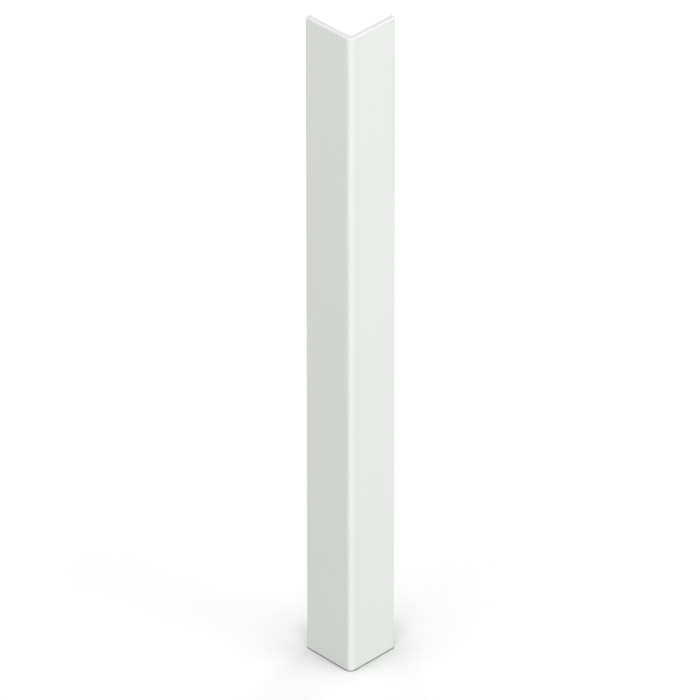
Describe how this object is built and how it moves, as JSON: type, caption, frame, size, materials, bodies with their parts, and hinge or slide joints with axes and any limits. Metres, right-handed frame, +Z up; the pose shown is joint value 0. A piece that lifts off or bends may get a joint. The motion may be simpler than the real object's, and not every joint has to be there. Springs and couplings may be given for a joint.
{
  "type": "corner guard moulding",
  "caption": "Equal-wing L-section corner guard moulding with a rounded outer corner, lightly eased edges and square-cut ends.",
  "frame": {"origin": "middle of the section's square outline, at the height of the foot", "axes": "+Z up along the length; one wing runs along +X and the other along +Y, so the rounded nose is at the -X -Y corner"},
  "size_m": [0.1, 0.1, 1.2],
  "materials": {
    "moulding_plastic": "satin, pale grey-green white"
  },
  "bodies": {
    "root": {"corner_guard": "moulding_plastic"}
  },
  "joints": []
}
